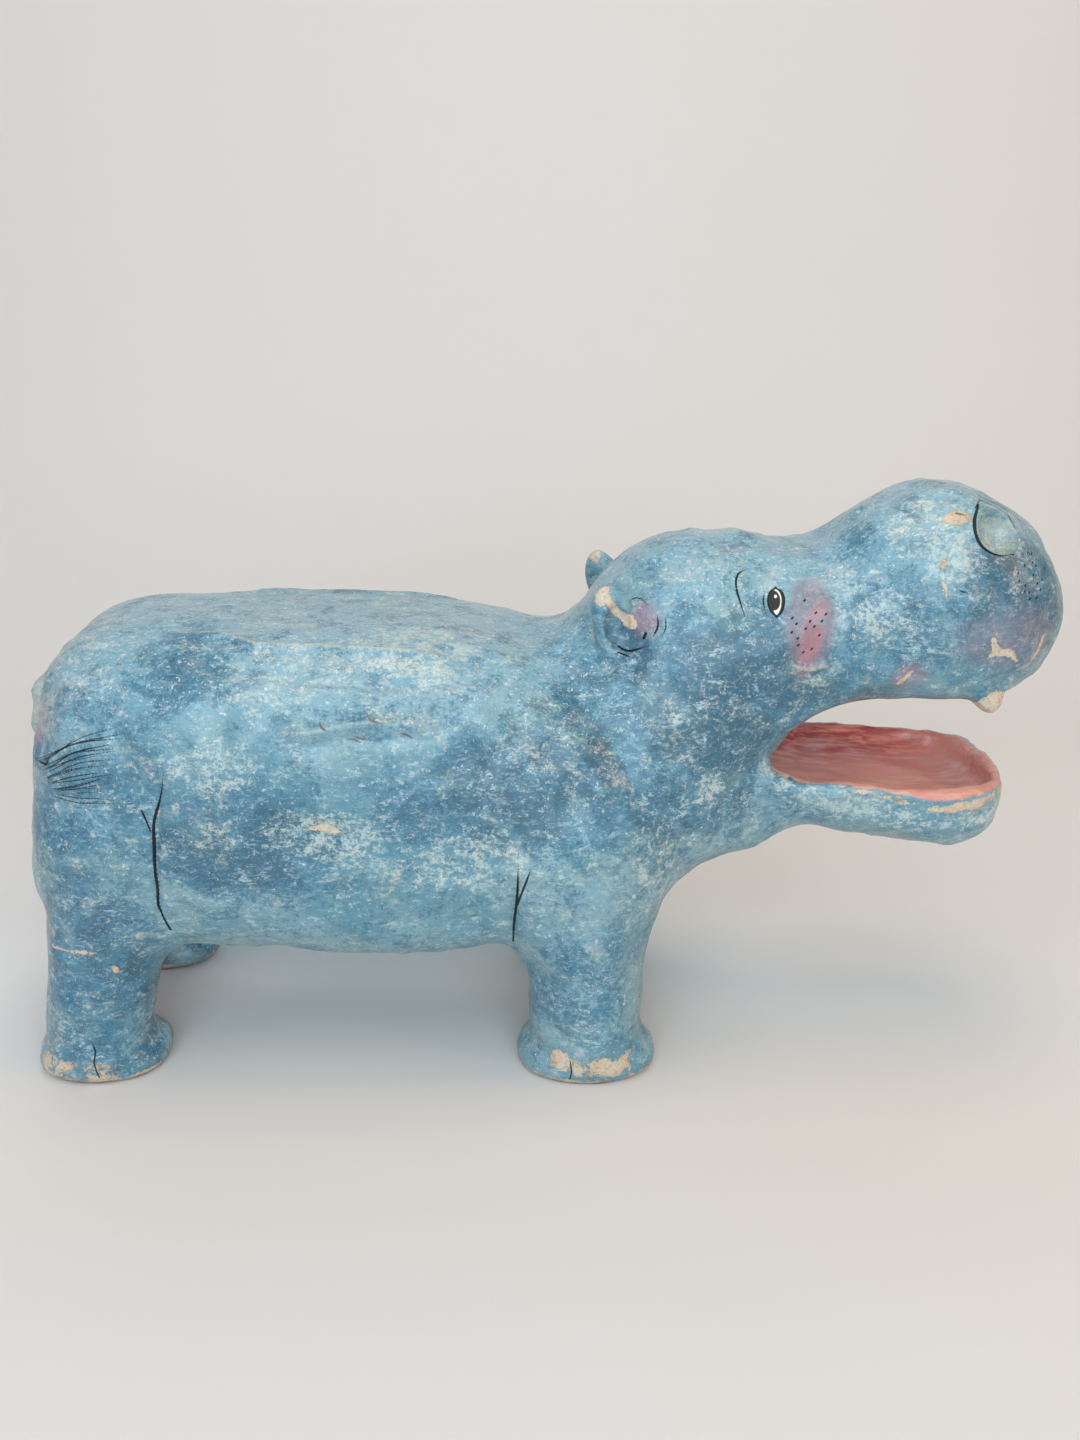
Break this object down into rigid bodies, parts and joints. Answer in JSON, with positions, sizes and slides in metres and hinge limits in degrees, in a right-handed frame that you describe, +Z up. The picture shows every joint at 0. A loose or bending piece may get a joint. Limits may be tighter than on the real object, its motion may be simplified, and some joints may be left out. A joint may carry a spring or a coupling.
{
  "type": "papier-mache hippopotamus ornament",
  "caption": "Standing papier-mache hippopotamus with a wide open mouth, painted mottled blue, moulded hollow in one piece.",
  "frame": {"origin": "middle of the object's box at floor level, between the four feet", "axes": "+X along the body towards the muzzle, +Y to the animal's left, +Z up"},
  "size_m": [0.5788, 0.196, 0.3236],
  "materials": {
    "painted_paper": "mottled blue brushwork under a satin varnish"
  },
  "bodies": {
    "root": {"hippopotamus": "painted_paper"}
  },
  "joints": []
}
